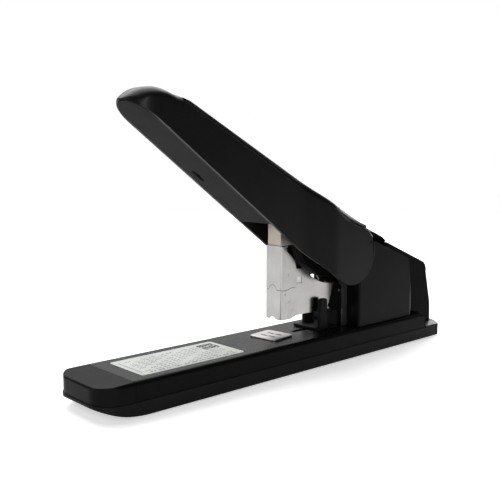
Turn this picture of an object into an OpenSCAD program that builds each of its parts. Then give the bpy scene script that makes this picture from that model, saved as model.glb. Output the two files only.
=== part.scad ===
// Heavy-duty desk stapler with a long lever handle, shown open.
// X runs from the nose (-) to the hinge end (+), Y across the base, Z up.
// The origin is on the table under the middle of the base.

/* [Base] */
// Overall length of the base
base_l = 327; // [324:1:330]
// Width of the base
base_w = 55.2; // [54:0.2:58]
// Height of the top plate above the table
base_h = 20.7; // [20:0.1:21.5]
// Height of the line where the tray meets the cover
part_z = 9.3; // [8.5:0.1:9.6]
// Radius of the nose corners seen from above
nose_r = 16; // [12:1:20]
// Radius of the rounded upper edges of the base
edge_r = 2.7; // [2:0.1:3]

/* [Top plate and anvil] */
// Length of the capacity label
label_l = 79; // [60:1:85]
// Width of the capacity label
label_w = 35.6; // [28:0.2:40]
// Size of the anvil plate along the base
anvil_l = 21.5; // [19:0.5:22]
// Size of the anvil plate across the base
anvil_w = 23; // [20:0.5:25]
// Turn of the anvil plate at rest, in degrees
anvil_turn = 7; // [0:1:10]

/* [Handle] */
// Height of the handle pivot above the table
pivot_z = 77; // [76.5:0.1:77.5]
// Distance of the handle pivot behind the middle of the base
pivot_x = 40.3; // [40:0.1:40.6]
// Radius of the rounded lobes at the handle pivot
lobe_r = 23.8; // [23.5:0.1:24]
// Width across the grip
grip_w = 33.6; // [33:0.2:34.6]
// Width across the pivot lobes
lobe_w = 51; // [50.8:0.2:52]
// Wall of the handle shell
handle_wall = 2.2; // [2:0.1:2.3]

/* [Head and magazine] */
// Width across the outside of the head
head_w = 16; // [15.9:0.1:16.2]
// Width across the crown of a staple
staple_w = 12.6; // [12.4:0.1:12.6]
// Leg length of a staple
staple_leg = 10; // [8:0.5:10]
// Gap between the head and the table-side top of the base when open
head_gap = 12.1; // [12:0.1:12.4]
// Height of the magazine pivot above the table
mag_pivot_z = 36; // [35.8:0.1:36.2]

/* [Hidden] */
$fn = 64;

half_w = base_w / 2;
rear_x = 158;
nose_x = rear_x - base_l;
// all sizes along X count from a point this far in front of the middle of the base
mid_x = (rear_x + nose_x) / 2;
big = 400;
// small gaps: between fixed neighbours, between moving neighbours, and round running shafts
fit = 0.15;
play = 0.35;
run = 0.06;
// base
tray_z = 1;
tray_wall = 2.4;
tray_floor = 2.2;
rear_r = 36;
plinth_z = part_z + 0.9;
cover_inset = 0.5;
cover_wall = 2.4;
seam_x = -147.1;
bow_x = -138;
bow_r = 75;
nose_drop = 1.1;
nose_a = 6.2;
nose_round = (nose_drop - 0.1) / (1 - cos(nose_a));
cover_rear_x = rear_x - 30;
plate_t = 0.8;
plate_hw = half_w - edge_r - 1.4;
plate_rear_x = 44;
label_t = 0.3;
label_x = -97;
well_hw = 11.4;
well_x1 = 141;
spine_hw = 16;
boss_r = 3.6;
screw_r = 1.5;
screw_x = [-136, -50, 8, 112];
screw_y = half_w - 7.2;
foot_r = 6;
foot_x = [-118, 96];
foot_y = half_w - 13.5;
chassis_z = 3.4;
chassis_t = 2;
chassis_hw = 15.5;
// anvil and paper stop
anvil_x = -17;
anvil_t = 1.1;
anvil_z = base_h + 0.12;
stem_r = 3.5;
slot_hw = 2.1;
slot_x0 = 4;
slot_x1 = 43;
stop_x0 = 18;
stop_x1 = 38;
post_y0 = 9.6;
post_y1 = 12.8;
post_h = 23.2;
block_h = 9.5;
// frame and shafts
bracket_in = 9.4;
bracket_out = 10.9;
shaft_r = 4;
mag_x = 130.5;
mag_shaft_r = 3.5;
// housing
cheek_hw = 23;
cheek_x0 = 49.8;
cheek_wall = 2.2;
swing_r = lobe_r - 2.6;
// handle
under_a = 36.15;
top_a = 28.5;
tan_x = pivot_x - lobe_r * sin(under_a);
tan_z = pivot_z - lobe_r * cos(under_a);
grip_hw = grip_w / 2;
lobe_hw = lobe_w / 2;
lobe_in = lobe_hw - 2.2;
tip_x = -135.8;
tip_r = 1.2;
panel_x0 = -104;
panel_x1 = 90;
shoulder_x = 58;
cavity_x = -31.9;
cover_x0 = tip_x + 11.2;
lever_hw = 4.5;
roller_x = -0.8;
roller_z = 101.7;
roller_r = 4;
// head
head_hw = head_w / 2;
sheet = 0.7;
head_x0 = -15.3;
head_x1 = -0.5;
head_z0 = base_h + head_gap;
head_z1 = 84;
split_z = 53.8;
frame_hw = head_hw - sheet - 0.1;
blade_t = 1.2;
blade_x = head_x0 + sheet + 0.2;
staple_hw = staple_w / 2;
rail_hw = 5.2;
rail_z0 = 35.6;
crown_z = rail_z0 + staple_leg + 1.3;
rod_z = 51.5;
rod_r = 1.5;
arm_hw = 8.7;
arm_in = 7.4;
hammer_z0 = 84;
hammer_z1 = 97.5;
seat_z = 54.4;

// Points of an arc about c, from angle a0 to a1
function arc(c, r, a0, a1, n = 10) =
    [for (i = [0:n]) let (a = a0 + (a1 - a0) * i / n) c + r * [cos(a), sin(a)]];
// Outline of the base seen from above, drawn in by d
function base_plan(d) = let (a = asin((half_w - d) / (rear_r - d))) concat(
    arc([nose_x + nose_r, half_w - nose_r], nose_r - d, 90, 180),
    arc([nose_x + nose_r, nose_r - half_w], nose_r - d, 180, 270),
    arc([rear_x - rear_r, 0], rear_r - d, -a, a, 20));
// Height of the handle's underside and of its upper edge at x
function under_z(x) = tan_z - (x - tan_x) * tan(under_a);
function edge_z(x) = 177.5 - (x - panel_x0) * tan(top_a);
// Half width of the handle seen from above, at x
function handle_hw(x) = grip_hw + (lobe_hw - grip_hw) * (1 - cos(180 * min(1, max(0, (x + 6) / 30)))) / 2;
// Outline of the handle seen from above, drawn in by d
function handle_plan(d) = let (
    xs = [for (i = [0:12]) -6 + 30 * i / 12],
    side = [for (x = xs) [x, handle_hw(x) - d]],
    r = grip_hw - d,
    tip = arc([tip_x + grip_hw, 0], r, 90, 270, 24))
    concat(tip, [for (p = side) [p[0], -p[1]]], [[big, d - lobe_hw], [big, lobe_hw - d]],
        [for (i = [12:-1:0]) side[i]]);

// Moves the part so that the origin is under the middle of the base
module centred() { translate([-mid_x, 0, 0]) children(); }
// X-Z outline made solid from y0 to y1
module slab(y0, y1) { translate([0, y1, 0]) rotate([90, 0, 0]) linear_extrude(y1 - y0) children(); }
// Cylinder along Y
module pin_y(x, z, r, y0, y1) { translate([x, y1, z]) rotate([90, 0, 0]) cylinder(r = r, h = y1 - y0); }
// Cylinder along X
module pin_x(y, z, r, x0, x1) { translate([x0, y, z]) rotate([0, 90, 0]) cylinder(r = r, h = x1 - x0); }
// Box from one corner to the other
module block(a, b) { translate(a) cube(b - a); }
// The same thing on both sides of the middle plane
module both_sides() {
    children();
    mirror([0, 1, 0]) children();
}
// Round-wire coil from z0 to z1, as closed turns joined by slanted links
module coil(r, wire, z0, z1, turns) {
    pitch = (z1 - z0 - 2 * wire) / (turns - 1);
    for (i = [0:turns - 1])
        translate([0, 0, z0 + wire + i * pitch])
            rotate_extrude($fn = 32) translate([r, 0]) circle(wire, $fn = 16);
    for (i = [0:turns - 2]) rotate([0, 0, 70 * i]) translate([r, 0, z0 + wire + (i + 0.5) * pitch])
        rotate([30, 0, 0]) cylinder(r = wire, h = pitch / cos(30), center = true, $fn = 16);
}
// Side view of the base, with an underside that sweeps up at the nose, drawn in by d
module bow(d) {
    c = [bow_x, tray_z + bow_r];
    a = asin((bow_x - nose_x + 1) / bow_r);
    slab(-half_w, half_w) polygon(concat(arc(c, bow_r - d, 270 - a, 270, 16),
        [[rear_x, tray_z + d], [rear_x, big], [nose_x - 1, big]]));
}
// Cross-section of the upper base with drawn-in sides and rounded upper edges
module cover_section(d) {
    w0 = half_w - cover_inset - d;
    w1 = w0 - 0.7;
    top = base_h - d;
    right = concat([[w0, part_z - 1]], arc([w1 - edge_r, top - edge_r], edge_r, 0, 90, 8));
    polygon(concat(right, [for (i = [len(right) - 1:-1:0]) [-right[i][0], right[i][1]]]));
}
// Solid made by the plan, the cross-section and an X-Z outline together
module cover_solid(d) {
    intersection() {
        linear_extrude(base_h) polygon(base_plan(cover_inset + d));
        translate([nose_x - 1, 0, 0]) rotate([90, 0, 90]) linear_extrude(big) cover_section(d);
        slab(-half_w, half_w) polygon(concat(
            arc([nose_x + cover_inset + d + 2, base_h - nose_drop - d - 2], 2, 180, 96, 6),
            arc([seam_x, base_h - d - nose_round], nose_round, 90 + nose_a, 90, 8),
            [[rear_x, base_h - d], [rear_x, part_z], [nose_x + cover_inset + d, part_z]]));
    }
}

// ---- base ----

module screw_spots() {
    for (x = screw_x) for (s = [-1, 1]) translate([x, s * screw_y, 0]) children();
}

module base_tray() {
    color("#232321") difference() {
        union() {
            intersection() {
                translate([0, 0, tray_z]) linear_extrude(part_z - tray_z) polygon(base_plan(0));
                bow(0);
            }
            intersection() {
                linear_extrude(plinth_z) polygon(base_plan(0));
                block([cover_rear_x + fit, -half_w, tray_z], [rear_x, half_w, plinth_z]);
            }
        }
        difference() {
            intersection() {
                linear_extrude(big) polygon(base_plan(tray_wall));
                bow(tray_floor);
                union() {
                    block([nose_x, -half_w, 0], [cover_rear_x - 4, half_w, big]);
                    block([nose_x, -half_w, 0], [rear_x, half_w, plinth_z - 2]);
                }
            }
            screw_spots() cylinder(r = boss_r, h = part_z - 0.6);
        }
        // well for the steel bracket inside the rear spine
        block([100, -well_hw, tray_z + tray_floor], [well_x1, well_hw, big]);
        screw_spots() cylinder(r = screw_r + 0.2, h = part_z);
        screw_spots() cylinder(r = screw_r + 1.6, h = tray_z + 1.6);
        for (x = foot_x) for (s = [-1, 1])
            translate([x, s * foot_y, 0]) cylinder(r = foot_r + 0.2, h = tray_z + 1.2);
    }
}

module rubber_feet() {
    color("#1b1b1b") for (x = foot_x) for (s = [-1, 1])
        translate([x, s * foot_y, 0]) cylinder(r = foot_r, h = tray_z + 1.2);
}

module base_screws() {
    color("#9a9a98") screw_spots() {
        translate([0, 0, tray_z + 0.2]) cylinder(r = screw_r + 1.4, h = 1.4);
        translate([0, 0, tray_z + 1.6]) cylinder(r = screw_r, h = 12);
    }
}

module chassis_plate() {
    color("#8d8f90") difference() {
        block([-136, -chassis_hw, chassis_z], [116, chassis_hw, chassis_z + chassis_t]);
        for (x = foot_x) for (s = [-1, 1])
            translate([x, s * foot_y, 0]) cylinder(r = foot_r + 1, h = chassis_z + chassis_t - 0.8);
    }
}

module frame_bracket() {
    web_z = chassis_z + chassis_t;
    color("#3a3b3c") difference() {
        union() {
            block([46, -bracket_out, web_z], [138, bracket_out, web_z + 1.5]);
            both_sides() slab(bracket_in, bracket_out) polygon([[46, web_z], [138, web_z], [139, 40],
                [132, 46], [100, 60], [64, 76], [54, 88], [34, 88], [29, 80], [30, 68], [45, 50]]);
        }
        pin_y(pivot_x, pivot_z, shaft_r, -half_w, half_w);
        pin_y(mag_x, mag_pivot_z, mag_shaft_r, -half_w, half_w);
    }
}

module base_cover() {
    color("#262624") difference() {
        union() {
            difference() {
                cover_solid(0);
                difference() {
                    cover_solid(cover_wall);
                    screw_spots() translate([0, 0, part_z]) cylinder(r = boss_r, h = big);
                    block([cover_rear_x - 2.4, -half_w, part_z - 1], [rear_x, half_w, big]);
                    block([nose_x, -half_w, part_z - 1], [seam_x + 2.4, half_w, big]);
                }
            }
        }
        block([nose_x - 1, -half_w, 0], [seam_x, half_w, big]);
        block([cover_rear_x, -half_w, 0], [rear_x + 1, half_w, big]);
        // recess for the top plate
        block([nose_x, -plate_hw - fit, base_h - plate_t], [plate_rear_x + fit, plate_hw + fit, big]);
        // well for the steel bracket and the lower end of the rear spine
        block([45, -well_hw, 0], [rear_x, well_hw, big]);
        block([rear_x - 38.3, -spine_hw - fit, 0], [rear_x, spine_hw + fit, big]);
        // slot for the paper stop and hole for the anvil
        block([slot_x0, -slot_hw, 0], [slot_x1, slot_hw, big]);
        translate([anvil_x, 0, 0]) cylinder(r = stem_r + run, h = big);
        screw_spots() cylinder(r = screw_r, h = tray_z + 13.6);
        cheek_screw_spots() cylinder(r = screw_r + 0.2, h = big);
        cheek_screw_spots() cylinder(r = screw_r + 1.6, h = base_h - 2.2);
    }
}

module nose_cap() {
    color("#2b2b29") difference() {
        cover_solid(0);
        block([seam_x - fit, -half_w, 0], [rear_x + 1, half_w, big]);
        intersection() {
            cover_solid(cover_wall);
            block([nose_x, -half_w, 0], [seam_x - 2, half_w, big]);
        }
    }
}

module top_plate() {
    color("#6c6b68") difference() {
        block([seam_x + fit, -plate_hw, base_h - plate_t], [plate_rear_x, plate_hw, base_h]);
        block([label_x - label_l / 2 - fit, -label_w / 2 - fit, base_h - label_t],
            [label_x + label_l / 2 + fit, label_w / 2 + fit, big]);
        block([slot_x0, -slot_hw, 0], [slot_x1, slot_hw, big]);
        translate([anvil_x, 0, 0]) cylinder(r = stem_r + run, h = big);
    }
}

module capacity_label() {
    color("#c9c8c4") translate([0, 0, base_h - label_t]) linear_extrude(label_t - 0.05) polygon(concat(
        arc([label_x + label_l / 2 - 2, label_w / 2 - 2], 2, 0, 90, 6),
        arc([label_x - label_l / 2 + 2, label_w / 2 - 2], 2, 90, 180, 6),
        arc([label_x - label_l / 2 + 2, 2 - label_w / 2], 2, 180, 270, 6),
        arc([label_x + label_l / 2 - 2, 2 - label_w / 2], 2, 270, 360, 6)));
}

module anvil_plate() {
    x = anvil_l / 2 - 3;
    y = anvil_w / 2 - 3;
    color("#b9b8b4") translate([anvil_x, 0, 0]) rotate([0, 0, anvil_turn]) {
        difference() {
            translate([0, 0, anvil_z]) linear_extrude(anvil_t) polygon(concat(arc([x, y], 3, 0, 90, 6),
                arc([-x, y], 3, 90, 180, 6), arc([-x, -y], 3, 180, 270, 6), arc([x, -y], 3, 270, 360, 6)));
            // clinching grooves, a pair for each position of the anvil
            for (gx = [-3.6, 3.6]) for (gy = [-3.4, 3.4])
                block([gx - 0.8, gy - 2.9, anvil_z + anvil_t - 0.6], [gx + 0.8, gy + 2.9, big]);
        }
        translate([0, 0, 12]) cylinder(r = stem_r, h = anvil_z - 12);
    }
}

module anvil_retainer() {
    color("#a9a9a6") translate([anvil_x, 0, 14]) difference() {
        cylinder(r = stem_r + 3, h = 1.2);
        translate([0, 0, -1]) cylinder(r = stem_r + run, h = 4);
    }
}

module paper_stop() {
    z = base_h + 0.2;
    color("#1c1c1b") {
        block([stop_x0, -post_y1, z], [stop_x1, post_y1, z + 1.8]);
        block([24, -slot_hw + play / 2, 13], [32, slot_hw - play / 2, z + 1]);
        slab(-post_y1, -post_y0) polygon(concat([[stop_x0 + 1.2, z], [stop_x0 + 9.6, z], [stop_x0 + 9, z + 8]],
            arc([stop_x0 + 6.6, base_h + post_h - 2], 2, 0, 90, 6),
            arc([stop_x0 + 4, base_h + post_h - 2], 2, 90, 180, 6), [[stop_x0 + 1.6, z + 8]]));
        block([stop_x0 + 9, post_y0, z], [stop_x0 + 19, post_y1, base_h + block_h]);
    }
}

module stop_retainer() {
    color("#a9a9a6") difference() {
        block([22, -5.5, 14.2], [34, 5.5, 15.4]);
        block([24 - fit, -slot_hw, 10], [32 + fit, slot_hw, 20]);
    }
}

// ---- rear housing ----

module cheek_screw_spots() {
    for (x = [58, 104]) for (s = [-1, 1]) translate([x, s * 19.6, 0]) children();
}

// Side view of a cheek, drawn in by d
module cheek_side(d) {
    a = 24;
    x1 = rear_x - 41.6;
    polygon(concat([[cheek_x0 + d, base_h + 0.05], [x1 - d, base_h + 0.05], [x1 - 2.6 - d, base_h + 17]],
        arc([104.4, 61.6], 6 - d, -8, 66, 8),
        [[64, 83.8 - d * 1.1], [cheek_x0 + d, pivot_z - d]]));
}

module cheek(s) {
    // seen from above: outer face with a rounded rear corner, stepped in ahead of the spine
    module plan(d) {
        x1 = rear_x - 41.6;
        polygon(concat([[cheek_x0 + d, 11.5 + d], [66 - fit - d, 11.5 + d],
            [66 - fit - d, spine_hw + fit + d], [x1 - d, spine_hw + fit + d]],
            arc([x1 - 5, cheek_hw - 5], 5 - d, 0, 90, 8),
            arc([cheek_x0 + 1.5, cheek_hw - 1.5], 1.5 - min(d, 1.4), 90, 180, 4)));
    }
    mirror([0, s < 0 ? 1 : 0, 0]) difference() {
        intersection() {
            slab(0, half_w) cheek_side(0);
            linear_extrude(big) plan(0);
        }
        difference() {
            intersection() {
                slab(0, half_w) cheek_side(cheek_wall);
                linear_extrude(big) plan(1.6);
            }
            for (x = [58, 104]) translate([x, 19.6, 0]) cylinder(r = 2.6, h = 34);
        }
        pin_y(pivot_x, pivot_z, swing_r, -1, cheek_hw + 1);
        for (x = [58, 104]) translate([x, 19.6, 0]) cylinder(r = screw_r, h = 31);
    }
}

module near_cheek() { color("#242423") cheek(-1); }

module far_cheek() { color("#242423") cheek(1); }

module housing_screws() {
    color("#9a9a98") cheek_screw_spots() {
        translate([0, 0, base_h - 3.6]) cylinder(r = screw_r + 1.4, h = 1.3);
        translate([0, 0, base_h - 2.4]) cylinder(r = screw_r, h = 11);
    }
}

// Side view of the rear spine, drawn in by d
module spine_side(d) {
    a = 24;
    top0 = 79.6;
    x0 = 90.5;
    foot = rear_x - 4.6;
    polygon(concat([[66, base_h + 0.05], [rear_x - 38 + d, base_h + 0.05], [rear_x - 38 + d, plinth_z + 0.05],
        [foot - d, plinth_z + 0.05]],
        arc([foot - 18.2, 53], 8 - d, -10, 66, 10),
        [[x0 + d, top0 - d], [x0 + d, top0 - 4 - d], [66, top0 - 4 - d + (x0 - 66) * tan(17)]]));
}

module rear_spine() {
    module plan(d) {
        x1 = rear_x - 4.6;
        polygon(concat([[60, -spine_hw + d]], arc([x1 - 5, -spine_hw + 5], 5 - d, 270, 360, 8),
            arc([x1 - 5, spine_hw - 5], 5 - d, 0, 90, 8), [[60, spine_hw - d]]));
    }
    color("#232322") difference() {
        intersection() {
            slab(-spine_hw, spine_hw) spine_side(0);
            linear_extrude(big) plan(0);
        }
        intersection() {
            union() {
                slab(-spine_hw, spine_hw) spine_side(2.2);
                block([60, -spine_hw, 0], [rear_x - 36, spine_hw, 40]);
                block([60, -spine_hw, 0], [rear_x - 7, spine_hw, 30]);
            }
            linear_extrude(big) plan(2.2);
        }
    }
}

// ---- shafts and springs on the frame ----

module handle_shaft() {
    color("#b4b4b0") pin_y(pivot_x, pivot_z, shaft_r, -lobe_hw + 1, lobe_hw - 1);
}

module magazine_shaft() {
    color("#b4b4b0") pin_y(mag_x, mag_pivot_z, mag_shaft_r, -13, 13);
}

module shaft_clips() {
    color("#8d8f90") both_sides() difference() {
        pin_y(mag_x, mag_pivot_z, mag_shaft_r + 2, bracket_out + 0.1, bracket_out + 1);
        pin_y(mag_x, mag_pivot_z, mag_shaft_r, 0, half_w);
    }
}

module handle_spring() {
    color("#9c9c9a") both_sides() {
        translate([pivot_x, 9, pivot_z]) rotate([90, 0, 0]) coil(6.2, 0.5, 0, 3.6, 3);
        // leg that rests in the frame
        translate([pivot_x + 6.2, 8.4, pivot_z - 16]) cylinder(r = 0.5, h = 16);
    }
}

module magazine_spring() {
    color("#9c9c9a") translate([76, 0, 0]) coil(5, 0.8, chassis_z + chassis_t + 1.6, 32.3, 5);
}

// ---- handle ----

// Side view of the handle shell, grip to lobes
module handle_side() {
    c = [tip_x + tip_r, under_z(tip_x + tip_r) + tip_r / cos(under_a)];
    polygon(concat(arc(c, tip_r, 270 - under_a, 180, 6),
        [[-135.4, 177.4], [-131, 180.2], [-126.5, 182.4], [-122.5, 183.9], [-118.5, 184.5],
        [-114.4, 183.9], [-110, 182.4], [-106, 180.8], [panel_x0, 179.6],
        [panel_x0, edge_z(panel_x0)], [shoulder_x, edge_z(shoulder_x)], [pivot_x + 14, pivot_z + 6],
        [pivot_x, pivot_z], [tan_x, tan_z]]));
}

module handle_shell() {
    color("#272725") difference() {
        union() {
            intersection() {
                slab(-lobe_hw, lobe_hw) handle_side();
                translate([0, 0, 1]) linear_extrude(big) polygon(handle_plan(0));
            }
            intersection() {
                both_sides() pin_y(pivot_x, pivot_z, lobe_r, grip_hw, lobe_hw);
                difference() {
                    linear_extrude(big) polygon(handle_plan(0));
                    linear_extrude(big) polygon(handle_plan(handle_wall));
                }
            }
        }
        // inside of the shell, open below
        intersection() {
            slab(-lobe_hw, lobe_hw) polygon([[tip_x + 11, 60], [tip_x + 11, edge_z(tip_x + 11) - 12],
                [panel_x0 - 14, 175.4], [panel_x0, edge_z(panel_x0) - 2.8],
                [shoulder_x + 20, edge_z(shoulder_x + 20) - 2.7], [big, 40], [40, 0], [-60, 40]]);
            linear_extrude(big) polygon(handle_plan(handle_wall));
        }
        both_sides() pin_y(pivot_x, pivot_z, shaft_r + run, 0, lobe_hw - 0.8);
        for (x = [-2, 12]) handle_screw_at(x) cylinder(r = 1.7, h = 30, center = true);
    }
}

// Places a screw square to the upper edge of the shell
module handle_screw_at(x) { translate([x, 0, edge_z(x)]) rotate([0, top_a, 0]) children(); }

module handle_top_panel() {
    slope = tan(27.6);
    function top(x) = 180.6 - (x - panel_x0) * slope;
    color("#2c2c2a") {
        slab(-14.4, 14.4) polygon([[panel_x0 + 0.2, edge_z(panel_x0) + 0.05], [panel_x0 + 0.2, 179.6],
            [panel_x0 + 4, top(panel_x0 + 4)], [46, top(46)], [46, edge_z(46) + 0.05]]);
        slab(-16, 16) polygon([[46, top(46)], [59.8, top(59.8)], [69.3, 91.2], [78.9, 87.4], [86, 84.2],
            [88.6, 82.2], [87.5, 80.9], [85.2, 81.8], [68.4, 88.6], [58.6, 92.9], [46, 99.6]]);
    }
}

module handle_underside_cover() {
    t = 2;
    color("#31312f") difference() {
        intersection() {
            slab(-14.4, 14.4) polygon([[cover_x0, under_z(cover_x0) + 0.1], [cover_x0, under_z(cover_x0) + t],
                [cavity_x, under_z(cavity_x) + t], [cavity_x, under_z(cavity_x) + 0.1]]);
            linear_extrude(big) polygon(handle_plan(handle_wall + 0.2));
        }
        // narrow slot in the middle of the cover
        block([-84, -1.6, 0], [-78, 1.6, big]);
    }
}

module handle_bushings() {
    color("#d8d6cf") both_sides() difference() {
        pin_y(pivot_x, pivot_z, 6.5, bracket_out + play, lobe_in - 0.1);
        pin_y(pivot_x, pivot_z, shaft_r + run, 0, half_w);
    }
}

module lever_arm() {
    arm = concat([[roller_x - 4.4, roller_z + 2.6], [roller_x + 1.2, roller_z + 5.4], [-6, 118.4],
        [18, 105.6], [46, 90]], arc([pivot_x, pivot_z], 20.5, -60, -110, 5),
        [[24, 61], [13, 68.5], [6.5, 80], [roller_x + 3.8, roller_z - 1.4], [roller_x - 2.4, roller_z - 1.4]]);
    color("#141414") difference() {
        union() {
            slab(-lever_hw, lever_hw) polygon(arm);
            pin_y(pivot_x, pivot_z, 9.6, -lever_hw, lever_hw);
        }
        pin_y(roller_x, roller_z, roller_r + 1.4, -2.7, 2.7);
        block([-12, -2.7, 90], [roller_x + 1, 2.7, roller_z + 3]);
        pin_y(roller_x, roller_z, 1.5, -lever_hw - 1, lever_hw + 1);
        pin_y(pivot_x, pivot_z, shaft_r + run, -lever_hw - 1, lever_hw + 1);
        for (x = [-2, 12]) handle_screw_at(x) translate([0, 0, -9.2]) cylinder(r = 1.3, h = 9);
        // clear of the inside of the shell
        slab(-lever_hw - 1, lever_hw + 1) polygon([[-30, edge_z(-30) - 2.8], [60, edge_z(60) - 2.8],
            [60, 130], [-30, 170]]);
    }
}

module lever_roller() {
    color("#b4b4b0") difference() {
        pin_y(roller_x, roller_z, roller_r, -2.4, 2.4);
        pin_y(roller_x, roller_z, 1.5 + 0.02, -3, 3);
    }
}

module roller_pin() { color("#8d8f90") pin_y(roller_x, roller_z, 1.5, -lever_hw, lever_hw); }

module handle_screws() {
    color("#9a9a98") for (x = [-2, 12]) handle_screw_at(x) translate([0, 0, -9]) cylinder(r = 1.3, h = 8.9);
}

// ---- head, in the magazine's moving group ----

// Side view of the upper head and of the lower guide
module head_side() {
    polygon([[head_x0, split_z], [head_x0, head_z1], [-12.8, 82], [-8.1, 78.8], [-3.6, 74.8], [-1.4, 71],
        [head_x1, 66], [head_x1, split_z + 0.2], [-3, split_z + 1], [-7, split_z + 0.5], [-11, split_z - 0.6]]);
}

module guide_side() {
    polygon([[head_x0, head_z0], [head_x0, split_z - 0.25], [-11, split_z - 0.85], [-7, split_z + 0.25],
        [-3, split_z + 0.75], [head_x1, split_z - 0.05], [head_x1, head_z0 + 1.6], [-6, head_z0]]);
}

module head_shell() {
    color("#b7b6b2") difference() {
        slab(-head_hw, head_hw) head_side();
        block([head_x0 + sheet, -head_hw + sheet, 0], [10, head_hw - sheet, big]);
        // edge that follows the tab of the guide
        translate([head_x0 - 1, 0, 0]) rotate([90, 0, 90]) linear_extrude(1 + sheet)
            polygon([[-4.4, split_z - 4], [-4, split_z + 0.4], [-1.4, split_z + 3.2], [1.4, split_z + 3.2],
                [3.6, split_z + 0.4], [4, split_z - 4]]);
        rivet_spots(sheet + 2);
    }
}

module staple_guide() {
    color("#aeada9") {
        difference() {
            slab(-head_hw, head_hw) guide_side();
            block([head_x0 + sheet, -head_hw + sheet, 0], [10, head_hw - sheet, big]);
            // notch in the lower edge of the front
            block([head_x0 - 1, -2.4, 0], [head_x0 + sheet + 1, 2, head_z0 + 2.4]);
            rivet_spots(sheet + 2);
        }
        translate([head_x0, 0, 0]) rotate([90, 0, 90]) linear_extrude(sheet)
            polygon([[-3.9, split_z - 1], [-3.7, split_z + 0.2], [-1.2, split_z + 2.9], [1.2, split_z + 2.9],
                [3.4, split_z + 0.2], [3.6, split_z - 1]]);
    }
}

// Side plates and floor that join the head to the magazine arms
module head_frame() {
    side = concat([[-12.2, 36.4], [-12.2, 66], [-2, 67.4], [4.6, 66.9]],
        arc([37, 89.5], 36.2, 219.5, 268, 10),
        [[62, 53.2], [62, 35], [20, 34.9], [0, 34.2]]);
    color("#b3b2ae") difference() {
        union() {
            both_sides() slab(frame_hw - sheet, frame_hw) polygon(side);
            block([0, -frame_hw, 34.4], [62, frame_hw, 35.2]);
        }
        slab(-half_w, half_w) polygon([[0.4, 57.2], [5.4, 56.6], [5.4, 61], [0.4, 61.6]]);
        rivet_spots(big);
    }
}

// Rivet positions: two on the shell, three on the guide and two on the arms, at depth d from outside
module rivet_spots(d) {
    both_sides() {
        for (p = [[-7.6, 63.2], [-10.8, 50.2], [-7, 44.6], [-4, 38.4], [44, 47], [56, 42]])
            pin_y(p[0], p[1], 1, 0, half_w);
    }
}

module head_rivets() {
    color("#c2c1bd") both_sides() {
        for (p = [[-7.6, 63.2], [-10.8, 50.2], [-7, 44.6], [-4, 38.4]])
            pin_y(p[0], p[1], 1, frame_hw - sheet, head_hw + 0.15);
        for (p = [[44, 47], [56, 42]]) pin_y(p[0], p[1], 1, frame_hw - sheet, arm_hw);
    }
}

module magazine_arms() {
    side = [[34.4, 36], [40.6, 53.4], [46, 54.4], [62, 54.2], [100, 48], [mag_x, 44.5], [mag_x + 6.5, 41],
        [mag_x + 7, 32], [mag_x, 28.5], [110, 29.6], [60, 32.6], [38, 33.2]];
    color("#171717") difference() {
        union() {
            both_sides() slab(arm_in, arm_hw) polygon(side);
            block([64, -arm_hw, 32.6], [118, arm_hw, 33.8]);
        }
        pin_y(mag_x, mag_pivot_z, 5, -half_w, half_w);
        rivet_spots(big);
    }
}

module magazine_bushings() {
    color("#d8d6cf") both_sides() difference() {
        pin_y(mag_x, mag_pivot_z, 5, 6.4, arm_hw + 0.4);
        pin_y(mag_x, mag_pivot_z, mag_shaft_r + run, 0, half_w);
    }
}

module staple_rail() {
    color("#8f9090") difference() {
        block([-12.4, -rail_hw, rail_z0], [116, rail_hw, crown_z - 1.05]);
        block([-14, -rail_hw + 1, 0], [120, rail_hw - 1, crown_z - 2.2]);
    }
}

module staple_strip() {
    color("#d0cfca") difference() {
        block([-12.6, -staple_hw, crown_z - staple_leg - 0.9], [38, staple_hw, crown_z - 0.05]);
        block([-13, -staple_hw + 0.9, 0], [39, staple_hw - 0.9, crown_z - 0.95]);
    }
}

module pusher() {
    color("#3b3c3d") difference() {
        union() {
            block([38.4, -staple_hw, crown_z - staple_leg], [50, staple_hw, 49.4]);
            block([38.4, -4, 49], [50, 4, 55]);
        }
        block([38, -rail_hw - 0.2, 0], [51, rail_hw + 0.2, crown_z - 0.8]);
        pin_x(0, rod_z, rod_r + run, 38, 51);
    }
}

module pusher_spring() {
    color("#9c9c9a") translate([50.2, 0, rod_z]) rotate([0, 90, 0]) coil(2.5, 0.5, 0, 61.6, 14);
}

module spring_rod() { color("#b4b4b0") pin_x(0, rod_z, rod_r, 30, 114.5); }

module rod_brackets() {
    color("#8f9090") for (x = [30, 112.2]) difference() {
        block([x, -frame_hw + sheet + 0.05, crown_z + 0.5], [x + 2.2, frame_hw - sheet - 0.05, 55]);
        pin_x(0, rod_z, rod_r, 0, 130);
    }
}

module spring_seat() {
    color("#8f9090") block([-12.2, -frame_hw + sheet + 0.05, seat_z], [-0.8, frame_hw - sheet - 0.05, seat_z + 1.2]);
}

module driver_blade() {
    color("#a39f92") block([blade_x, -6.2, crown_z + 0.4], [blade_x + blade_t, 6.2, hammer_z1 + 2]);
}

module hammer_block() {
    color("#8b887e") block([blade_x + blade_t, -5.8, hammer_z0], [0.4, 5.8, hammer_z1]);
}

module driver_spring() {
    color("#9c9c9a") translate([-6.6, 0, 0]) coil(3.6, 0.6, seat_z + 1.3, hammer_z0 - 0.1, 7);
}

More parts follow.
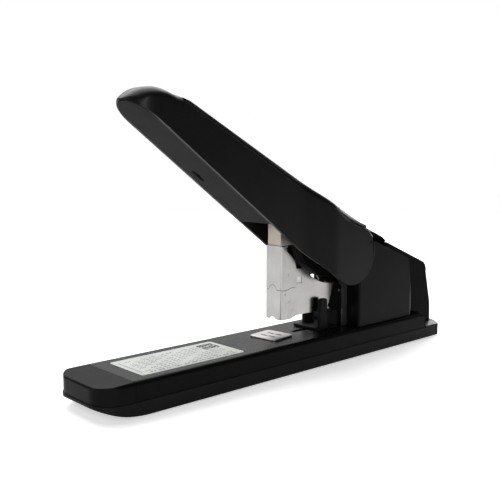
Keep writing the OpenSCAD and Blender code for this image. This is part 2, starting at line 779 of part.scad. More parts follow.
centred() base_tray();
centred() chassis_plate();
centred() frame_bracket();
centred() base_cover();
centred() nose_cap();
centred() top_plate();
centred() capacity_label();
centred() anvil_plate();
centred() anvil_retainer();
centred() rubber_feet();
centred() base_screws();
centred() paper_stop();
centred() stop_retainer();
centred() near_cheek();
centred() far_cheek();
centred() rear_spine();
centred() housing_screws();
centred() handle_shaft();
centred() magazine_shaft();
centred() shaft_clips();
centred() handle_spring();
centred() handle_shell();
centred() handle_top_panel();
centred() handle_underside_cover();
centred() handle_screws();
centred() handle_bushings();
centred() lever_arm();
centred() lever_roller();
centred() roller_pin();
centred() head_shell();
centred() staple_guide();
centred() head_frame();
centred() head_rivets();
centred() magazine_arms();
centred() magazine_bushings();
centred() staple_rail();
centred() staple_strip();
centred() pusher();
centred() pusher_spring();
centred() spring_rod();
centred() rod_brackets();
centred() spring_seat();
centred() hammer_block();
centred() driver_blade();
centred() driver_spring();
centred() magazine_spring();
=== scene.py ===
import math

import bmesh
import bpy
import numpy as np
from mathutils import Matrix, Vector


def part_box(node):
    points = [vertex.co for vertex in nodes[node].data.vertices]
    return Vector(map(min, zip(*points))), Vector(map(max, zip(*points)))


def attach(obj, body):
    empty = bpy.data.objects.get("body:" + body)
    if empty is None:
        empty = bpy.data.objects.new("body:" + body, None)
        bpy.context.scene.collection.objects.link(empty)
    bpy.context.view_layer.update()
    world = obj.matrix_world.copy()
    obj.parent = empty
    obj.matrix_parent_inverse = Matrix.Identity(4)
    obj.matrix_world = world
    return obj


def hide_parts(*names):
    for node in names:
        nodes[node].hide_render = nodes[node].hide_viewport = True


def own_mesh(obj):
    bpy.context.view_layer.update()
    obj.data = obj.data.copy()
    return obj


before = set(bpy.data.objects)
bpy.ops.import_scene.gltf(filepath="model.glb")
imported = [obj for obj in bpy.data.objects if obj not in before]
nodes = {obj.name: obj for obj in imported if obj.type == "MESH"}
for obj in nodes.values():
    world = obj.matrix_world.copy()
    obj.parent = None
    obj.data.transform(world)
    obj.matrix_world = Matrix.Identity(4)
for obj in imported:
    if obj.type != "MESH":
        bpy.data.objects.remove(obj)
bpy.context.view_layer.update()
MM = 0.001

# Part sizes are in mm from a point ahead of the handle pivot, as the part's drawing has them.
PIVOT_X = 40.3
PIVOT_Z = 77.0
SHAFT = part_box("handle_shaft")
X0 = (SHAFT[0][0] + SHAFT[1][0]) / 2 - PIVOT_X * MM


def at(x, y, z):
    return (X0 + x * MM, y * MM, z * MM)


# ---------------------------------------------------------------- camera
FORWARD = Vector((0.671, 0.731, -0.1226)).normalized()
RIGHT = Vector((0.737, -0.676, 0.0)).normalized()
cam_data = bpy.data.cameras.new("camera")
cam_data.lens = 54.0
cam_data.sensor_width = 36.0
cam_data.clip_start = 0.01
cam = bpy.data.objects.new("camera", cam_data)
bpy.context.scene.collection.objects.link(cam)
up = RIGHT.cross(FORWARD)
turn = Matrix((FORWARD.cross(up), up, -FORWARD)).transposed()
cam.matrix_world = Matrix.Translation(at(-372.2, -365.1, 144.0)) @ turn.to_4x4()
bpy.context.scene.camera = cam


# ---------------------------------------------------------------- materials
def new_material(name):
    mat = bpy.data.materials.new(name)
    mat.use_nodes = True
    return mat, mat.node_tree, mat.node_tree.nodes["Principled BSDF"]


def add(tree, kind, **values):
    n = tree.nodes.new(kind)
    for key, value in values.items():
        if key in n.inputs:
            n.inputs[key].default_value = value
        else:
            setattr(n, key, value)
    return n


def ramp(tree, source, stops):
    r = add(tree, "ShaderNodeValToRGB")
    elements = r.color_ramp.elements
    for e, (place, colour) in zip((elements[0], elements[1]), (stops[0], stops[-1])):
        e.position = place
        e.color = colour
    for place, colour in stops[1:-1]:
        elements.new(place).color = colour
    tree.links.new(source, r.inputs["Fac"])
    return r.outputs["Color"]


def spread(tree, source, low, high):
    m = add(tree, "ShaderNodeMapRange")
    m.inputs["To Min"].default_value = low
    m.inputs["To Max"].default_value = high
    tree.links.new(source, m.inputs["Value"])
    return m.outputs["Result"]


def noise(tree, place, scale, detail=3.0, roughness=0.55):
    n = add(tree, "ShaderNodeTexNoise", Scale=scale, Detail=detail, Roughness=roughness)
    tree.links.new(place, n.inputs["Vector"])
    return n.outputs["Fac"]


def object_place(tree, stretch=None):
    place = add(tree, "ShaderNodeTexCoord").outputs["Object"]
    if stretch is None:
        return place
    mapping = add(tree, "ShaderNodeMapping")
    mapping.inputs["Scale"].default_value = stretch
    tree.links.new(place, mapping.inputs["Vector"])
    return mapping.outputs["Vector"]


def grey(v, warm=0.0):
    return (v * (1 + warm), v, v * (1 - warm), 1.0)


def bump(tree, shader, height, strength, distance):
    b = add(tree, "ShaderNodeBump", Strength=strength, Distance=distance)
    tree.links.new(height, b.inputs["Height"])
    tree.links.new(b.outputs["Normal"], shader.inputs["Normal"])


def plastic(name, value, roughness, grain=0.05, grain_mm=0.5, specular=0.5, warm=0.03, mottle=0.14):
    """Moulded plastic: fine spark-eroded grain, with slow changes of colour and gloss."""
    mat, tree, shader = new_material(name)
    place = object_place(tree)
    slow = noise(tree, place, 38.0, 4.0, 0.6)
    dark, light = grey(value * (1 - mottle), warm), grey(value * (1 + mottle), warm)
    colour = ramp(tree, slow, [(0.3, dark), (0.7, light)])
    tree.links.new(colour, shader.inputs["Base Color"])
    smudge = noise(tree, place, 95.0, 6.0, 0.65)
    tree.links.new(spread(tree, smudge, roughness - 0.05, roughness + 0.06), shader.inputs["Roughness"])
    bump(tree, shader, noise(tree, place, 1.0 / (grain_mm * MM)), grain, 0.0002)
    shader.inputs["Specular IOR Level"].default_value = specular
    return mat


def steel(name, value, roughness, stretch=(1.0, 1.0, 0.06), warm=0.02, metallic=1.0, brush=0.12):
    """Sheet, ground or drawn steel: fine lines along one direction, and slow changes of tone and gloss."""
    mat, tree, shader = new_material(name)
    lines = noise(tree, object_place(tree, stretch), 1400.0, 5.0, 0.7)
    slow = noise(tree, object_place(tree), 70.0)
    colour = ramp(tree, slow, [(0.3, grey(value * 0.9, warm)), (0.7, grey(value * 1.07, warm))])
    tree.links.new(colour, shader.inputs["Base Color"])
    gloss = spread(tree, lines, max(0.04, roughness - 0.07), roughness + 0.09)
    tree.links.new(gloss, shader.inputs["Roughness"])
    bump(tree, shader, lines, brush, 0.0001)
    shader.inputs["Metallic"].default_value = metallic
    return mat


black_body = plastic("black_body", 0.0024, 0.36, specular=0.045)
black_housing = plastic("black_housing", 0.0022, 0.34, specular=0.05)
# the rear spine is the housing's black plastic made darker: painted shade for its recess behind the cheeks
spine_black_painted_shade = plastic("spine_black_painted_shade", 0.0012, 0.42, specular=0.02)
black_handle = plastic("black_handle", 0.0036, 0.38, specular=0.11)
black_panel = plastic("black_panel", 0.0045, 0.60, grain=0.02, specular=0.04)
black_under = plastic("black_underside", 0.011, 0.70, specular=0.05)
black_tray = plastic("black_tray", 0.0034, 0.46, specular=0.07)
plate_black = plastic("plate_black", 0.007, 0.26, grain=0.03, specular=0.15)
black_part = plastic("black_part", 0.004, 0.5, specular=0.08)
black_gloss = plastic("black_gloss", 0.0025, 0.65, grain=0.02, specular=0.03)
rubber = plastic("rubber", 0.02, 0.8, grain=0.2, specular=0.2)
nylon = plastic("nylon", 0.62, 0.45, warm=0.05, mottle=0.03)
# dark ink for printed marks, also used for painted shade: the guide's shadow line and the anvil's grooves
print_and_shade_ink = plastic("print_and_shade_ink", 0.012, 0.6, grain=0.02, specular=0.1, mottle=0.3)
head_steel = steel("head_steel", 0.34, 0.22, brush=0.03)
side_steel = steel("side_steel", 0.33, 0.2, stretch=(0.06, 1.0, 1.0), brush=0.02)
anvil_steel = steel("anvil_steel", 0.50, 0.34, stretch=(1.0, 0.1, 1.0))
dark_steel = steel("dark_steel", 0.06, 0.4, metallic=0.7)
screw_steel = steel("screw_steel", 0.5, 0.3)
spring_steel = steel("spring_steel", 0.42, 0.28)
driver_steel = steel("driver_steel", 0.36, 0.42, warm=0.12, metallic=0.75)
staple_steel = steel("staple_steel", 0.7, 0.2, stretch=(1.0, 0.05, 0.05), brush=0.5)

# finish and edge radius in mm of each carried-over CAD node
finish = {
    # base
    "base_tray": (black_tray, 0.6), "chassis_plate": (dark_steel, 0.2), "frame_bracket": (dark_steel, 0.2),
    "base_cover": (black_body, 0.35), "nose_cap": (black_body, 0.35), "top_plate": (plate_black, 0.15),
    "anvil_plate": (anvil_steel, 0.2), "anvil_retainer": (screw_steel, 0.1), "rubber_feet": (rubber, 0.3),
    "base_screws": (screw_steel, 0.15), "paper_stop": (black_part, 0.4), "stop_retainer": (screw_steel, 0.1),
    # housing
    "near_cheek": (black_housing, 0.8), "far_cheek": (black_housing, 0.8), "rear_spine": (spine_black_painted_shade, 0.8),
    "housing_screws": (screw_steel, 0.15), "handle_shaft": (screw_steel, 0.4),
    "magazine_shaft": (screw_steel, 0.3), "shaft_clips": (screw_steel, 0.1),
    "handle_spring": (spring_steel, 0),
    # handle
    "handle_screws": (screw_steel, 0.1), "handle_bushings": (black_part, 0.2), "lever_arm": (black_gloss, 0.3),
    "lever_roller": (screw_steel, 0.15), "roller_pin": (screw_steel, 0.1),
    # magazine
    "head_frame": (side_steel, 0.08), "head_rivets": (head_steel, 0.08), "magazine_arms": (black_gloss, 0.2),
    "magazine_bushings": (nylon, 0.1), "staple_rail": (dark_steel, 0.1), "staple_strip": (staple_steel, 0.05),
    "pusher": (black_part, 0.15), "spring_rod": (screw_steel, 0.1), "rod_brackets": (dark_steel, 0.1),
    "spring_seat": (driver_steel, 0.1), "hammer_block": (driver_steel, 0.2),
    "driver_blade": (driver_steel, 0.08),
}
# angles where bevels and sharp edges begin and flat triangles merge; points within MERGE metres join
BEVEL_FROM = math.radians(32)
CREASE_FROM = math.radians(40)
FLAT_BELOW = math.radians(0.6)
MERGE = 2e-6


def soften(o, edge, dissolve=True):
    """Rounds a mesh's edges by edge mm and shades it smooth; dissolve first merges its flat triangles."""
    o.data.polygons.foreach_set("use_smooth", [True] * len(o.data.polygons))
    if dissolve:
        o.modifiers.new("weld", "WELD").merge_threshold = MERGE
        flat = o.modifiers.new("flat", "DECIMATE")
        flat.decimate_type = "DISSOLVE"
        flat.angle_limit = FLAT_BELOW
    if edge:
        bevel = o.modifiers.new("edges", "BEVEL")
        bevel.width = edge * MM
        bevel.segments = 4 if edge > 1 else 3
        bevel.limit_method = "ANGLE"
        bevel.angle_limit = BEVEL_FROM
        bevel.use_clamp_overlap = True
    split = o.modifiers.new("split", "EDGE_SPLIT")
    split.split_angle = CREASE_FROM
    normals = o.modifiers.new("normals", "WEIGHTED_NORMAL")
    normals.weight = 60
    normals.keep_sharp = False


for name, (material, edge) in finish.items():
    nodes[name].data.materials.clear()
    nodes[name].data.materials.append(material)
    soften(nodes[name], edge)


# ---------------------------------------------------------------- mesh helpers
def piece(name, verts, faces, material, body, replaced=(), smooth=True):
    """A new mesh from points in mm and faces, riding on a CAD body."""
    mesh = bpy.data.meshes.new(name)
    mesh.from_pydata([at(*v) for v in verts], [], faces)
    bm = bmesh.new()
    bm.from_mesh(mesh)
    bmesh.ops.remove_doubles(bm, verts=bm.verts, dist=1e-6)
    bmesh.ops.dissolve_degenerate(bm, edges=bm.edges, dist=1e-7)
    bmesh.ops.recalc_face_normals(bm, faces=bm.faces)
    bm.to_mesh(mesh)
    bm.free()
    o = bpy.data.objects.new(name, mesh)
    bpy.context.scene.collection.objects.link(o)
    mesh.materials.append(material)
    mesh.polygons.foreach_set("use_smooth", [smooth] * len(mesh.polygons))
    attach(o, body)
    if replaced:
        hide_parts(*replaced)
    return o


def grid(rows, closed=False, caps=False):
    """Points and faces of a surface through rows of points; closed joins the ends of each row."""
    n = len(rows[0])
    verts = [p for row in rows for p in row]
    faces = []
    for i in range(len(rows) - 1):
        for j in range(n if closed else n - 1):
            k = (j + 1) % n
            faces.append((i * n + j, i * n + k, (i + 1) * n + k, (i + 1) * n + j))
    if caps:
        faces.append(tuple(range(n))[::-1])
        faces.append(tuple((len(rows) - 1) * n + j for j in range(n)))
    return verts, faces


def curve_at(points, x):
    """Height of a smooth line through (x, z) points, rising in x."""
    xs = [p[0] for p in points]
    zs = [p[1] for p in points]
    if x <= xs[0]:
        return zs[0]
    if x >= xs[-1]:
        return zs[-1]
    i = max(k for k in range(len(xs) - 1) if xs[k] <= x)
    slope = [0.0] * len(xs)
    for k in range(1, len(xs) - 1):
        slope[k] = (zs[k + 1] - zs[k - 1]) / (xs[k + 1] - xs[k - 1])
    slope[0] = (zs[1] - zs[0]) / (xs[1] - xs[0])
    slope[-1] = (zs[-1] - zs[-2]) / (xs[-1] - xs[-2])
    h = xs[i + 1] - xs[i]
    t = (x - xs[i]) / h
    return ((2 * t**3 - 3 * t**2 + 1) * zs[i] + (t**3 - 2 * t**2 + t) * h * slope[i]
            + (3 * t**2 - 2 * t**3) * zs[i + 1] + (t**3 - t**2) * h * slope[i + 1])


def face_out(o):
    """Turns a shell's faces to point away from its middle."""
    mesh = o.data
    middle = sum((v.co for v in mesh.vertices), Vector()) / len(mesh.vertices)
    if sum(f.area * f.normal.dot(f.center - middle) for f in mesh.polygons) < 0:
        mesh.flip_normals()


def thicken(o, wall, edge):
    """Gives a surface a wall of some mm, inwards from its faces, with edges rounded by edge mm."""
    solid = o.modifiers.new("wall", "SOLIDIFY")
    solid.thickness = wall * MM
    solid.offset = -1.0
    solid.use_even_offset = True
    bevel = o.modifiers.new("edges", "BEVEL")
    bevel.width = edge * MM
    bevel.segments = 3
    bevel.limit_method = "ANGLE"
    bevel.angle_limit = CREASE_FROM
    o.modifiers.new("normals", "WEIGHTED_NORMAL").keep_sharp = False


# ---------------------------------------------------------------- handle
# slope of the underside, radius of the pivot lobe, half widths of grip and lobe, and where the tip begins
UNDER_A = math.radians(36.15)
LOBE_R = 23.6
GRIP_W = 16.8
LOBE_W = 25.4
TIP_X = -135.7
TIP_C = TIP_X + GRIP_W
SHELL_END = 61.5
# wall of the shell; on top a rim this wide stands above the recess for the panel, this deep
WALL = 2.1
RIM = 1.7
SINK = 1.6
# the dome of the tip ends, and the side walls' upper edge and the panel begin, at PANEL_X0
PANEL_X0 = -103.0
under_x = PIVOT_X - LOBE_R * math.sin(UNDER_A)
under_z0 = PIVOT_Z - LOBE_R * math.cos(UNDER_A)


def under_z(x):
    """Lower edge of the handle's side wall: straight, then round the lobe."""
    if x <= under_x:
        return under_z0 - (x - under_x) * math.tan(UNDER_A)
    return PIVOT_Z - math.sqrt(max(0.0, LOBE_R**2 - (x - PIVOT_X) ** 2))


dome = [(-135.8, 177.0), (-134.0, 178.6), (-130.0, 181.3), (-126.0, 183.2), (-122.0, 184.2),
        (-118.5, 184.4), (-114.4, 183.7), (-110.0, 182.3), (-106.0, 180.6), (PANEL_X0, 178.9)]
side_top = [(PANEL_X0, 176.9), (20.0, 109.6), (31.3, 102.0), (38.8, 97.9), (46.8, 94.9), (52.5, 93.3),
            (57.0, 91.6), (60.0, 88.0), (SHELL_END, 83.5)]


def half_width(x):
    """Half the handle's width: round at the tip, straight along the grip, then wider at the lobe."""
    if x < TIP_C:
        return math.sqrt(max(0.0, GRIP_W**2 - (x - TIP_C) ** 2))
    t = min(1.0, max(0.0, (x + 6.0) / 30.0))
    return GRIP_W + (LOBE_W - GRIP_W) * (1 - math.cos(math.pi * t)) / 2


def mirrored(x, side, middle):
    """A cross-section at x from one side's (y, z) points and the height in the middle."""
    return [(x, -y, z) for y, z in side] + [(x, 0.0, middle)] + [(x, y, z) for y, z in reversed(side)]


def shell_row(x):
    """One cross-section of the handle shell, from the near lower edge over the top to the far lower edge."""
    w = half_width(x)
    low = under_z(x)
    tip = min(1.0, max(0.0, (-101.0 - x) / 6.0))
    if x < PANEL_X0:
        top = curve_at(dome, x)
        shoulder = min(6.5, (top - low) * 0.75)
    else:
        top = curve_at(side_top, x)
        shoulder = 0.9
    sink = SINK * (1 - tip)
    steps = 6
    side = [(w, low + (top - shoulder - low) * i / steps) for i in range(steps + 1)]
    corner = 8
    reach = min(w, 0.9 * (1 - tip) + (w * 0.8) * tip)
    for i in range(1, corner + 1):
        a = math.pi / 2 * i / corner
        side.append((w - reach * (1 - math.cos(a)), top - shoulder * (1 - math.sin(a))))
    inner = max(0.0, side[-1][0] - RIM * (1 - tip))
    side += [(inner, top), (inner, top - sink), (inner * 0.5, top - sink)]
    return mirrored(x, side, top - sink)


stations = [TIP_C - GRIP_W * math.cos(math.pi / 2 * i / 14) for i in range(15)]
stations += [-115.0, -112.0, -109.0, -107.0, -105.5, -104.2, -103.2, -102.6, -101.9, -101.2, -100.4]
stations += list(np.linspace(-96.0, -8.0, 16)) + list(np.linspace(-4.0, 26.0, 16))
stations += list(np.linspace(28.0, 56.0, 12)) + [57.5, 59.0, 60.2, 61.0, SHELL_END]
verts, faces = grid([shell_row(x) for x in stations])
handle = piece("handle_body", verts, faces, black_handle, "handle", ("handle_shell",))
face_out(handle)
thicken(handle, WALL, 0.35)

# side walls behind the shell's end, down to the lobe
for side in (-1, 1):
    outline = []
    a0 = math.atan2(-math.sqrt(LOBE_R**2 - (SHELL_END - PIVOT_X) ** 2), SHELL_END - PIVOT_X)
    for i in range(13):
        a = a0 + (-a0 + math.radians(17)) * i / 12
        outline.append((PIVOT_X + LOBE_R * math.cos(a), PIVOT_Z + LOBE_R * math.sin(a)))
    n = len(outline)
    verts = [(x, side * w, z) for w in (LOBE_W, LOBE_W - WALL) for x, z in outline]
    faces = [tuple(range(n)), tuple(range(2 * n - 1, n - 1, -1))]
    faces += [(i, (i + 1) % n, n + (i + 1) % n, n + i) for i in range(n)]
    lobe = piece("lobe_near" if side < 0 else "lobe_far", verts, faces, black_handle, "handle",
                 (), smooth=False)
    soften(lobe, 1.0, dissolve=False)

# height of the panel's middle line: a short run-in at the front, a straight slope, then a curved tail
RUN_IN = -97.0
SLOPE_END = 59.8
panel_top = [(SLOPE_END, 95.1), (69.3, 91.2), (78.9, 87.4), (86.0, 84.2), (89.0, 81.9)]


def panel_z(x):
    if x < RUN_IN:
        return 176.97 + (x - RUN_IN) * -0.3 - (x - RUN_IN) ** 2 * 0.003
    if x < SLOPE_END:
        return 180.1 + (95.1 - 180.1) * (x - PANEL_X0) / (SLOPE_END - PANEL_X0)
    return curve_at(panel_top, x)


def panel_row(x):
    """One cross-section of the top panel: flat in the middle, rounded down to the side walls."""
    tail = min(1.0, max(0.0, (x - 55.0) / 6.0))
    w = (half_width(x) - 0.7) * (1 - tail) + 15.9 * tail
    top = panel_z(x)
    edge = curve_at(side_top, x) + 0.35 if x < 55 else top - 1.2 - 1.9 * (1 - tail)
    drop = top - edge
    base = edge - 1.3
    flat = min(12.6, w - 2.5)
    side = [(w - 1.4, base), (w - 0.15, base + 0.35), (w, edge)]
    for i in range(1, 9):
        a = math.pi / 2 * i / 8
        side.append((w - (w - flat) * (1 - math.cos(a)) ** 0.85, edge + drop * math.sin(a)))
    return mirrored(x, side, top + 0.25)


stations = [-102.4, -101.9, -101.0] + list(np.linspace(-97.0, -6.0, 18)) + list(np.linspace(-3.0, 54.0, 24))
stations += list(np.linspace(55.5, 88.0, 16)) + [88.7]
verts, faces = grid([panel_row(x) for x in stations], closed=True, caps=True)
panel = piece("handle_panel", verts, faces, black_panel, "handle", ("handle_top_panel",))
soften(panel, 0.3, dissolve=False)

# underside cover: a plate let into the shell's lower edge, with a slot
COVER_X1 = -31.9
INSET = 0.9
LIFT = 0.12
SLOT_X, SLOT_Y = -75.0, 7.0
SLOT_LONG, SLOT_WIDE = 4.6, 2.0
cover_plan = []
for i in range(13):
    a = math.pi * (0.5 + i / 12)
    cover_plan.append((TIP_C + (GRIP_W - INSET) * math.cos(a), (GRIP_W - INSET) * math.sin(a)))
near_side = [(x, -(half_width(x) - INSET)) for x in np.linspace(TIP_C + 4, COVER_X1, 14)]
far_side = [(x, -y) for x, y in reversed(near_side)]
plan = cover_plan + near_side + far_side
turns = [2 * math.pi * i / 20 for i in range(20)]
slot_ring = [(SLOT_X + SLOT_LONG * math.cos(a), SLOT_Y + SLOT_WIDE * math.sin(a)) for a in turns]
bm = bmesh.new()
edges = []
for outline in (plan, slot_ring):
    ring = [bm.verts.new(at(x, y, under_z(x) + LIFT)) for x, y in outline]
    edges += [bm.edges.new((ring[i], ring[(i + 1) % len(ring)])) for i in range(len(ring))]
bmesh.ops.triangle_fill(bm, edges=edges, use_beauty=True)
bmesh.ops.recalc_face_normals(bm, faces=bm.faces)
if bm.faces[:][0].normal.z > 0:
    bmesh.ops.reverse_faces(bm, faces=bm.faces[:])
mesh = bpy.data.meshes.new("underside_cover")
bm.to_mesh(mesh)
bm.free()
cover = bpy.data.objects.new("underside_cover", mesh)
bpy.context.scene.collection.objects.link(cover)
mesh.materials.append(black_under)
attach(cover, "handle")
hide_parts("handle_underside_cover")
thicken(cover, 1.8, 0.4)

# ---------------------------------------------------------------- head
HEAD_X0 = -15.3
HEAD_X1 = -0.5
HEAD_W = 8.0
SHEET = 0.7
SPLIT = 53.8
GUIDE_Z0 = 32.8
FOLD = 1.5
GAP = 0.22
# the head's side plates lie this far from the middle
FRAME_W = 7.2
shell_top = [(-15.3, 84.0), (-12.8, 82.3), (-8.1, 78.8), (-3.6, 74.8), (-1.4, 71.0), (-0.5, 66.0)]
wave = [(-15.3, -0.2), (-11.0, -0.6), (-7.0, 0.5), (-3.0, 1.0), (-0.5, 0.2)]


def head_rows(low, high):
    """Wraps a sheet round the head: rows of points from the near rear edge round the front to the far one."""
    path = []
    for i in range(15):
        path.append((HEAD_X1 + (HEAD_X0 + FOLD - HEAD_X1) * i / 14, -HEAD_W))
    for i in range(1, 7):
        a = math.pi / 2 * i / 6
        path.append((HEAD_X0 + FOLD - FOLD * math.sin(a), -HEAD_W + FOLD - FOLD * math.cos(a)))
    for i in range(1, 13):
        path.append((HEAD_X0, (-HEAD_W + FOLD) * (1 - i / 12)))
    path += [(x, -y) for x, y in reversed(path[:-1])]
    return [[(x, y, low(x, y) * (1 - t) + high(x, y) * t) for x, y in path]
            for t in (k / 10 for k in range(11))]


def split_line(x, y):
    """Height of the wavy line where the shell meets the guide, with a tab on the front."""
    if x > HEAD_X0 + 0.1:
        return SPLIT + curve_at(wave, x)
    t = max(0.0, 1 - (abs(y - 0.6) / 3.9) ** 2.4)
    return SPLIT - 0.2 + 3.3 * t


def guide_low(x, y):
    """Height of the guide's lower edge, with a notch on the front."""
    if x > HEAD_X0 + 0.1:
        return GUIDE_Z0 + max(0.0, (x + 6.0) / 5.5) * 1.6
    notch = 1.6 * max(0.0, 1 - (abs(y - 0.9) / 3.0) ** 3)
    return GUIDE_Z0 + notch


verts, faces = grid(head_rows(split_line, lambda x, y: curve_at(shell_top, x)))
shell = piece("head_cover", verts, faces, head_steel, "magazine", ("head_shell",))
face_out(shell)
thicken(shell, SHEET, 0.08)
verts, faces = grid(head_rows(guide_low, lambda x, y: split_line(x, y) - GAP))
guide = piece("head_guide", verts, faces, head_steel, "magazine", ("staple_guide",))
face_out(guide)
thicken(guide, SHEET, 0.08)

# punched dots on the head's cover and guide, and two rows of small dots on its side plates
verts = []
faces = []


def disc(x, z, radius, y):
    """A round flat mark on a side of the head."""
    start = len(verts)
    ring = [2 * math.pi * i / 12 for i in range(12)]
    verts.extend((x + radius * math.cos(a), y, z + radius * math.sin(a)) for a in ring)
    faces.append(tuple(range(start, start + 12)))


for y in (-HEAD_W - 0.01, HEAD_W + 0.01):
    for x, z in ((-7.8, 63.4), (-11.4, 50.2), (-7.2, 44.4)):
        disc(x, z, 0.65, y)
for y in (0.01 - FRAME_W, FRAME_W - 0.01):
    for i in range(7):
        disc(9.0 + 0.35 * i, 53.5 - 1.6 * i, 0.42, y)
        disc(12.6 + 0.5 * (i % 2), 52.6 - 1.6 * i, 0.22, y)
piece("head_marks", verts, faces, print_and_shade_ink, "magazine", (), smooth=False)

# dark strip painted as the shadow line behind the guide's rear edge, and the white block that shows in the
# side window
verts = []
faces = []
for y in (-0.01 - FRAME_W, FRAME_W + 0.01):
    start = len(verts)
    verts += [(x, y, z) for x, z in ((HEAD_X1, 34.6), (HEAD_X1 + 0.3, 34.6),
                                     (HEAD_X1 + 0.3, 54.6), (HEAD_X1, 54.6))]
    faces.append(tuple(range(start, start + 4)))
piece("guide_painted_shadow", verts, faces, print_and_shade_ink, "magazine", (), smooth=False)
window = ((-0.4, 55.8), (6.2, 55.8), (6.2, 62.4), (-0.4, 62.4))
verts, faces = grid([[(x, y, z) for x, z in window] for y in (-6.45, -6.3)], closed=True, caps=True)
piece("window_block", verts, faces, nylon, "magazine", (), smooth=False)


# ---------------------------------------------------------------- springs
def helix(name, body, replaced, centre, axis, radius, wire, length, turns):
    """Round-wire spring: a true helix with closed ends, starting at centre and running along axis."""
    axis = Vector(axis)
    side = axis.orthogonal().normalized()
    other = axis.cross(side)
    steps = int(turns * 24)
    points = []
    for i in range(steps + 1):
        t = i / steps
        eased = t + math.sin(2 * math.pi * t) * -0.045
        a = 2 * math.pi * turns * t
        points.append(Vector(centre) + axis * (wire + (length - 2 * wire) * eased)
                      + side * radius * math.cos(a) + other * radius * math.sin(a))
    rows = []
    ring = 8
    for i, p in enumerate(points):
        ahead = (points[min(i + 1, steps)] - points[max(i - 1, 0)]).normalized()
        out = (p - Vector(centre)) - axis * (p - Vector(centre)).dot(axis)
        out.normalize()
        third = ahead.cross(out).normalized()
        rows.append([tuple(p + (out * math.cos(b) + third * math.sin(b)) * wire)
                     for b in (2 * math.pi * k / ring for k in range(ring))])
    verts, faces = grid(rows, closed=True, caps=True)
    return piece(name, verts, faces, spring_steel, body, replaced)


drive = helix("driver_coil", "magazine", ("driver_spring",), (-6.6, 0, 55.7), (0, 0, 1), 3.6, 0.6, 28.2, 8)
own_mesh(drive)
lift = helix("lift_coil", "base", ("magazine_spring",), (76, 0, 7.0), (0, 0, 1), 5.0, 0.8, 25.2, 5.5)
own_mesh(lift)
push = helix("pusher_coil", "magazine", ("pusher_spring",), (50.2, 0, 51.5), (1, 0, 0), 2.5, 0.5, 61.6, 16)
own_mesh(push)

for side in (-1, 1):
    helix("return_coil_near" if side < 0 else "return_coil_far", "base", (), (PIVOT_X, side * 5.4, PIVOT_Z),
          (0, side, 0), 6.2, 0.5, 3.6, 3.25)
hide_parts("handle_spring")

# ---------------------------------------------------------------- label
card, tree, shader = new_material("label_card")
slow = noise(tree, object_place(tree), 60.0, 4.0)
tone = ramp(tree, slow, [(0.3, (0.46, 0.48, 0.45, 1)), (0.7, (0.54, 0.56, 0.53, 1))])
tree.links.new(tone, shader.inputs["Base Color"])
fibre = noise(tree, object_place(tree, (1.0, 0.3, 1.0)), 2600.0)
tree.links.new(spread(tree, fibre, 0.36, 0.5), shader.inputs["Roughness"])
bump(tree, shader, fibre, 0.05, 0.0001)
nodes["capacity_label"].data.materials.clear()
nodes["capacity_label"].data.materials.append(card)
soften(nodes["capacity_label"], 0.0)

label = nodes["capacity_label"]
LABEL_Z = max((label.matrix_world @ v.co).z for v in label.data.vertices) / MM
# first stroke of the printed table, and the steps between its columns, rows and strokes
TABLE_X, TABLE_Y = -129.5, -15.6
COL_STEP, ROW_STEP, STROKE_STEP = 6.2, 3.35, 1.25
RULE_X, RULE_Y, RULE_STEP = -133.6, -12.5, 1.8
BLOCK_X, BLOCK_STEP = -73.0, 2.6


def dash(marks, x, y, length, width):
    """A short printed stroke, long across the base."""
    marks.append([(x, y), (x + width, y), (x + width, y + length), (x, y + length)])


# a plain table of short strokes, a rule across its front end and a dark block at its rear end
marks = []
for col in range(11):
    for row in range(9):
        bold = row == 0
        for k in range(4):
            if (col * 3 + row * 7 + k * 5) % 5 < 4 or bold:
                size = 0.7 + 0.4 * ((col * 5 + row * 3 + k * 2) % 4)
                x = TABLE_X + COL_STEP * col + STROKE_STEP * k
                dash(marks, x, TABLE_Y + ROW_STEP * row, size, 0.75 if bold else 0.5)
for k in range(14):
    dash(marks, RULE_X, RULE_Y + RULE_STEP * k, 1.3, 0.6)
for k in range(5):
    dash(marks, BLOCK_X + BLOCK_STEP * k, 3.0 + 0.6 * (k % 2), 5.2, 1.8)
    dash(marks, BLOCK_X + BLOCK_STEP * k, 9.6, 4.6, 1.9)
verts = [(x, y, LABEL_Z + 0.03) for quad in marks for x, y in quad]
faces = [tuple(4 * i + k for k in range(4)) for i in range(len(marks))]
piece("label_print", verts, faces, print_and_shade_ink, "base", (), smooth=False)

# flat dark marks painted as the shade in the anvil's clinching grooves, which are not cut as hollows
ANVIL_X = -17.0
ANVIL_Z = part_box("anvil_plate")[1].z / MM
HALF_X, HALF_Y = 1.5, 3.1
verts = []
for gx in (-3.6, 3.6):
    for gy in (-3.4, 3.4):
        for dx, dy in ((-HALF_X, -HALF_Y), (HALF_X, -HALF_Y), (HALF_X, HALF_Y), (-HALF_X, HALF_Y)):
            verts.append((ANVIL_X + gx + dx, gy + dy, ANVIL_Z - 0.01))
faces = [tuple(4 * i + k for k in range(4)) for i in range(4)]
piece("anvil_groove_shade", verts, faces, print_and_shade_ink, "anvil", (), smooth=False)

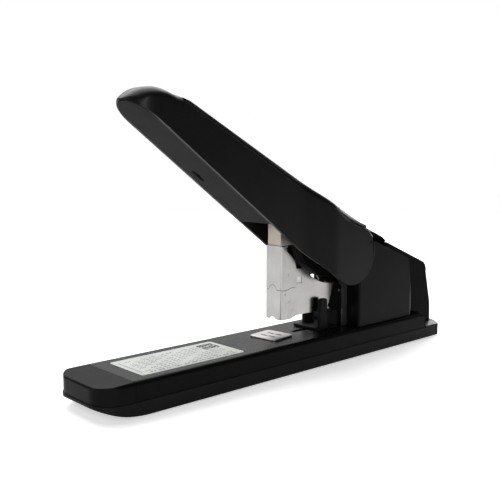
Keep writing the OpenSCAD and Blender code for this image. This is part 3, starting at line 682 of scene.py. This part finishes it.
# ---------------------------------------------------------------- studio
FLOOR_R = 1.5
FLOOR_Z = -0.0002
bm = bmesh.new()
ring = np.linspace(0, 2 * math.pi, 64)[:-1]
bm.faces.new([bm.verts.new((FLOOR_R * math.cos(a), FLOOR_R * math.sin(a), FLOOR_Z)) for a in ring])
mesh = bpy.data.meshes.new("floor")
bm.to_mesh(mesh)
bm.free()
floor = bpy.data.objects.new("floor", mesh)
bpy.context.scene.collection.objects.link(floor)
floor_mat, tree, shader = new_material("floor_paper")
tone = ramp(tree, noise(tree, object_place(tree), 3.0), [(0.3, grey(0.86)), (0.7, grey(0.88))])
tree.links.new(tone, shader.inputs["Base Color"])
shader.inputs["Roughness"].default_value = 0.95
shader.inputs["Specular IOR Level"].default_value = 0.1
shader.inputs["Emission Color"].default_value = grey(1.0)
shader.inputs["Emission Strength"].default_value = 0.5
mesh.materials.append(floor_mat)

world = bpy.data.worlds.new("studio")
bpy.context.scene.world = world
world.use_nodes = True
tree = world.node_tree
background = tree.nodes["Background"]
# white behind the object, dark on the side of the camera, and plain white where the camera sees it
way = add(tree, "ShaderNodeVectorMath", operation="DOT_PRODUCT")
way.inputs[1].default_value = (0.62, 0.70, 0.30)
tree.links.new(add(tree, "ShaderNodeTexCoord").outputs["Generated"], way.inputs[0])
level = add(tree, "ShaderNodeMapRange", interpolation_type="SMOOTHSTEP")
level.inputs["From Min"].default_value = 0.3
level.inputs["To Min"].default_value = 0.05
level.inputs["To Max"].default_value = 0.6
tree.links.new(way.outputs["Value"], level.inputs["Value"])
choice = add(tree, "ShaderNodeMix")
choice.inputs["B"].default_value = 1.0
tree.links.new(add(tree, "ShaderNodeLightPath").outputs["Is Camera Ray"], choice.inputs["Factor"])
tree.links.new(level.outputs["Result"], choice.inputs["A"])
tree.links.new(choice.outputs["Result"], background.inputs["Strength"])
background.inputs["Color"].default_value = (1.0, 1.0, 1.0, 1.0)


def area_light(name, place, target, size, size_y, power):
    """A rectangular soft light at a place in metres, facing a target."""
    light = bpy.data.lights.new(name, "AREA")
    light.shape = "RECTANGLE"
    light.size = size
    light.size_y = size_y
    light.energy = power
    o = bpy.data.objects.new(name, light)
    o.location = place
    o.rotation_euler = (Vector(target) - Vector(place)).to_track_quat("-Z", "Y").to_euler()
    bpy.context.scene.collection.objects.link(o)
    return o


area_light("overhead", (0.3, 0.85, 1.35), (0.0, 0.15, 0.0), 1.8, 1.8, 34.0)
rear_light = area_light("rear_right", (1.66, 0.50, 0.08), (0.05, 0.0, 0.07), 0.8, 0.5, 7.0)
rear_light.data.spread = math.radians(45)
rear_light.visible_camera = False
area_light("camera_strip", (-1.0, -1.12, 0.48), (0.0, 0.0, 0.06), 0.12, 0.95, 12.0)
area_light("left_strip", (-0.9, 0.5, 0.5), (-0.02, 0.0, 0.06), 0.35, 0.7, 2.2)

bpy.context.scene.view_settings.view_transform = "Standard"
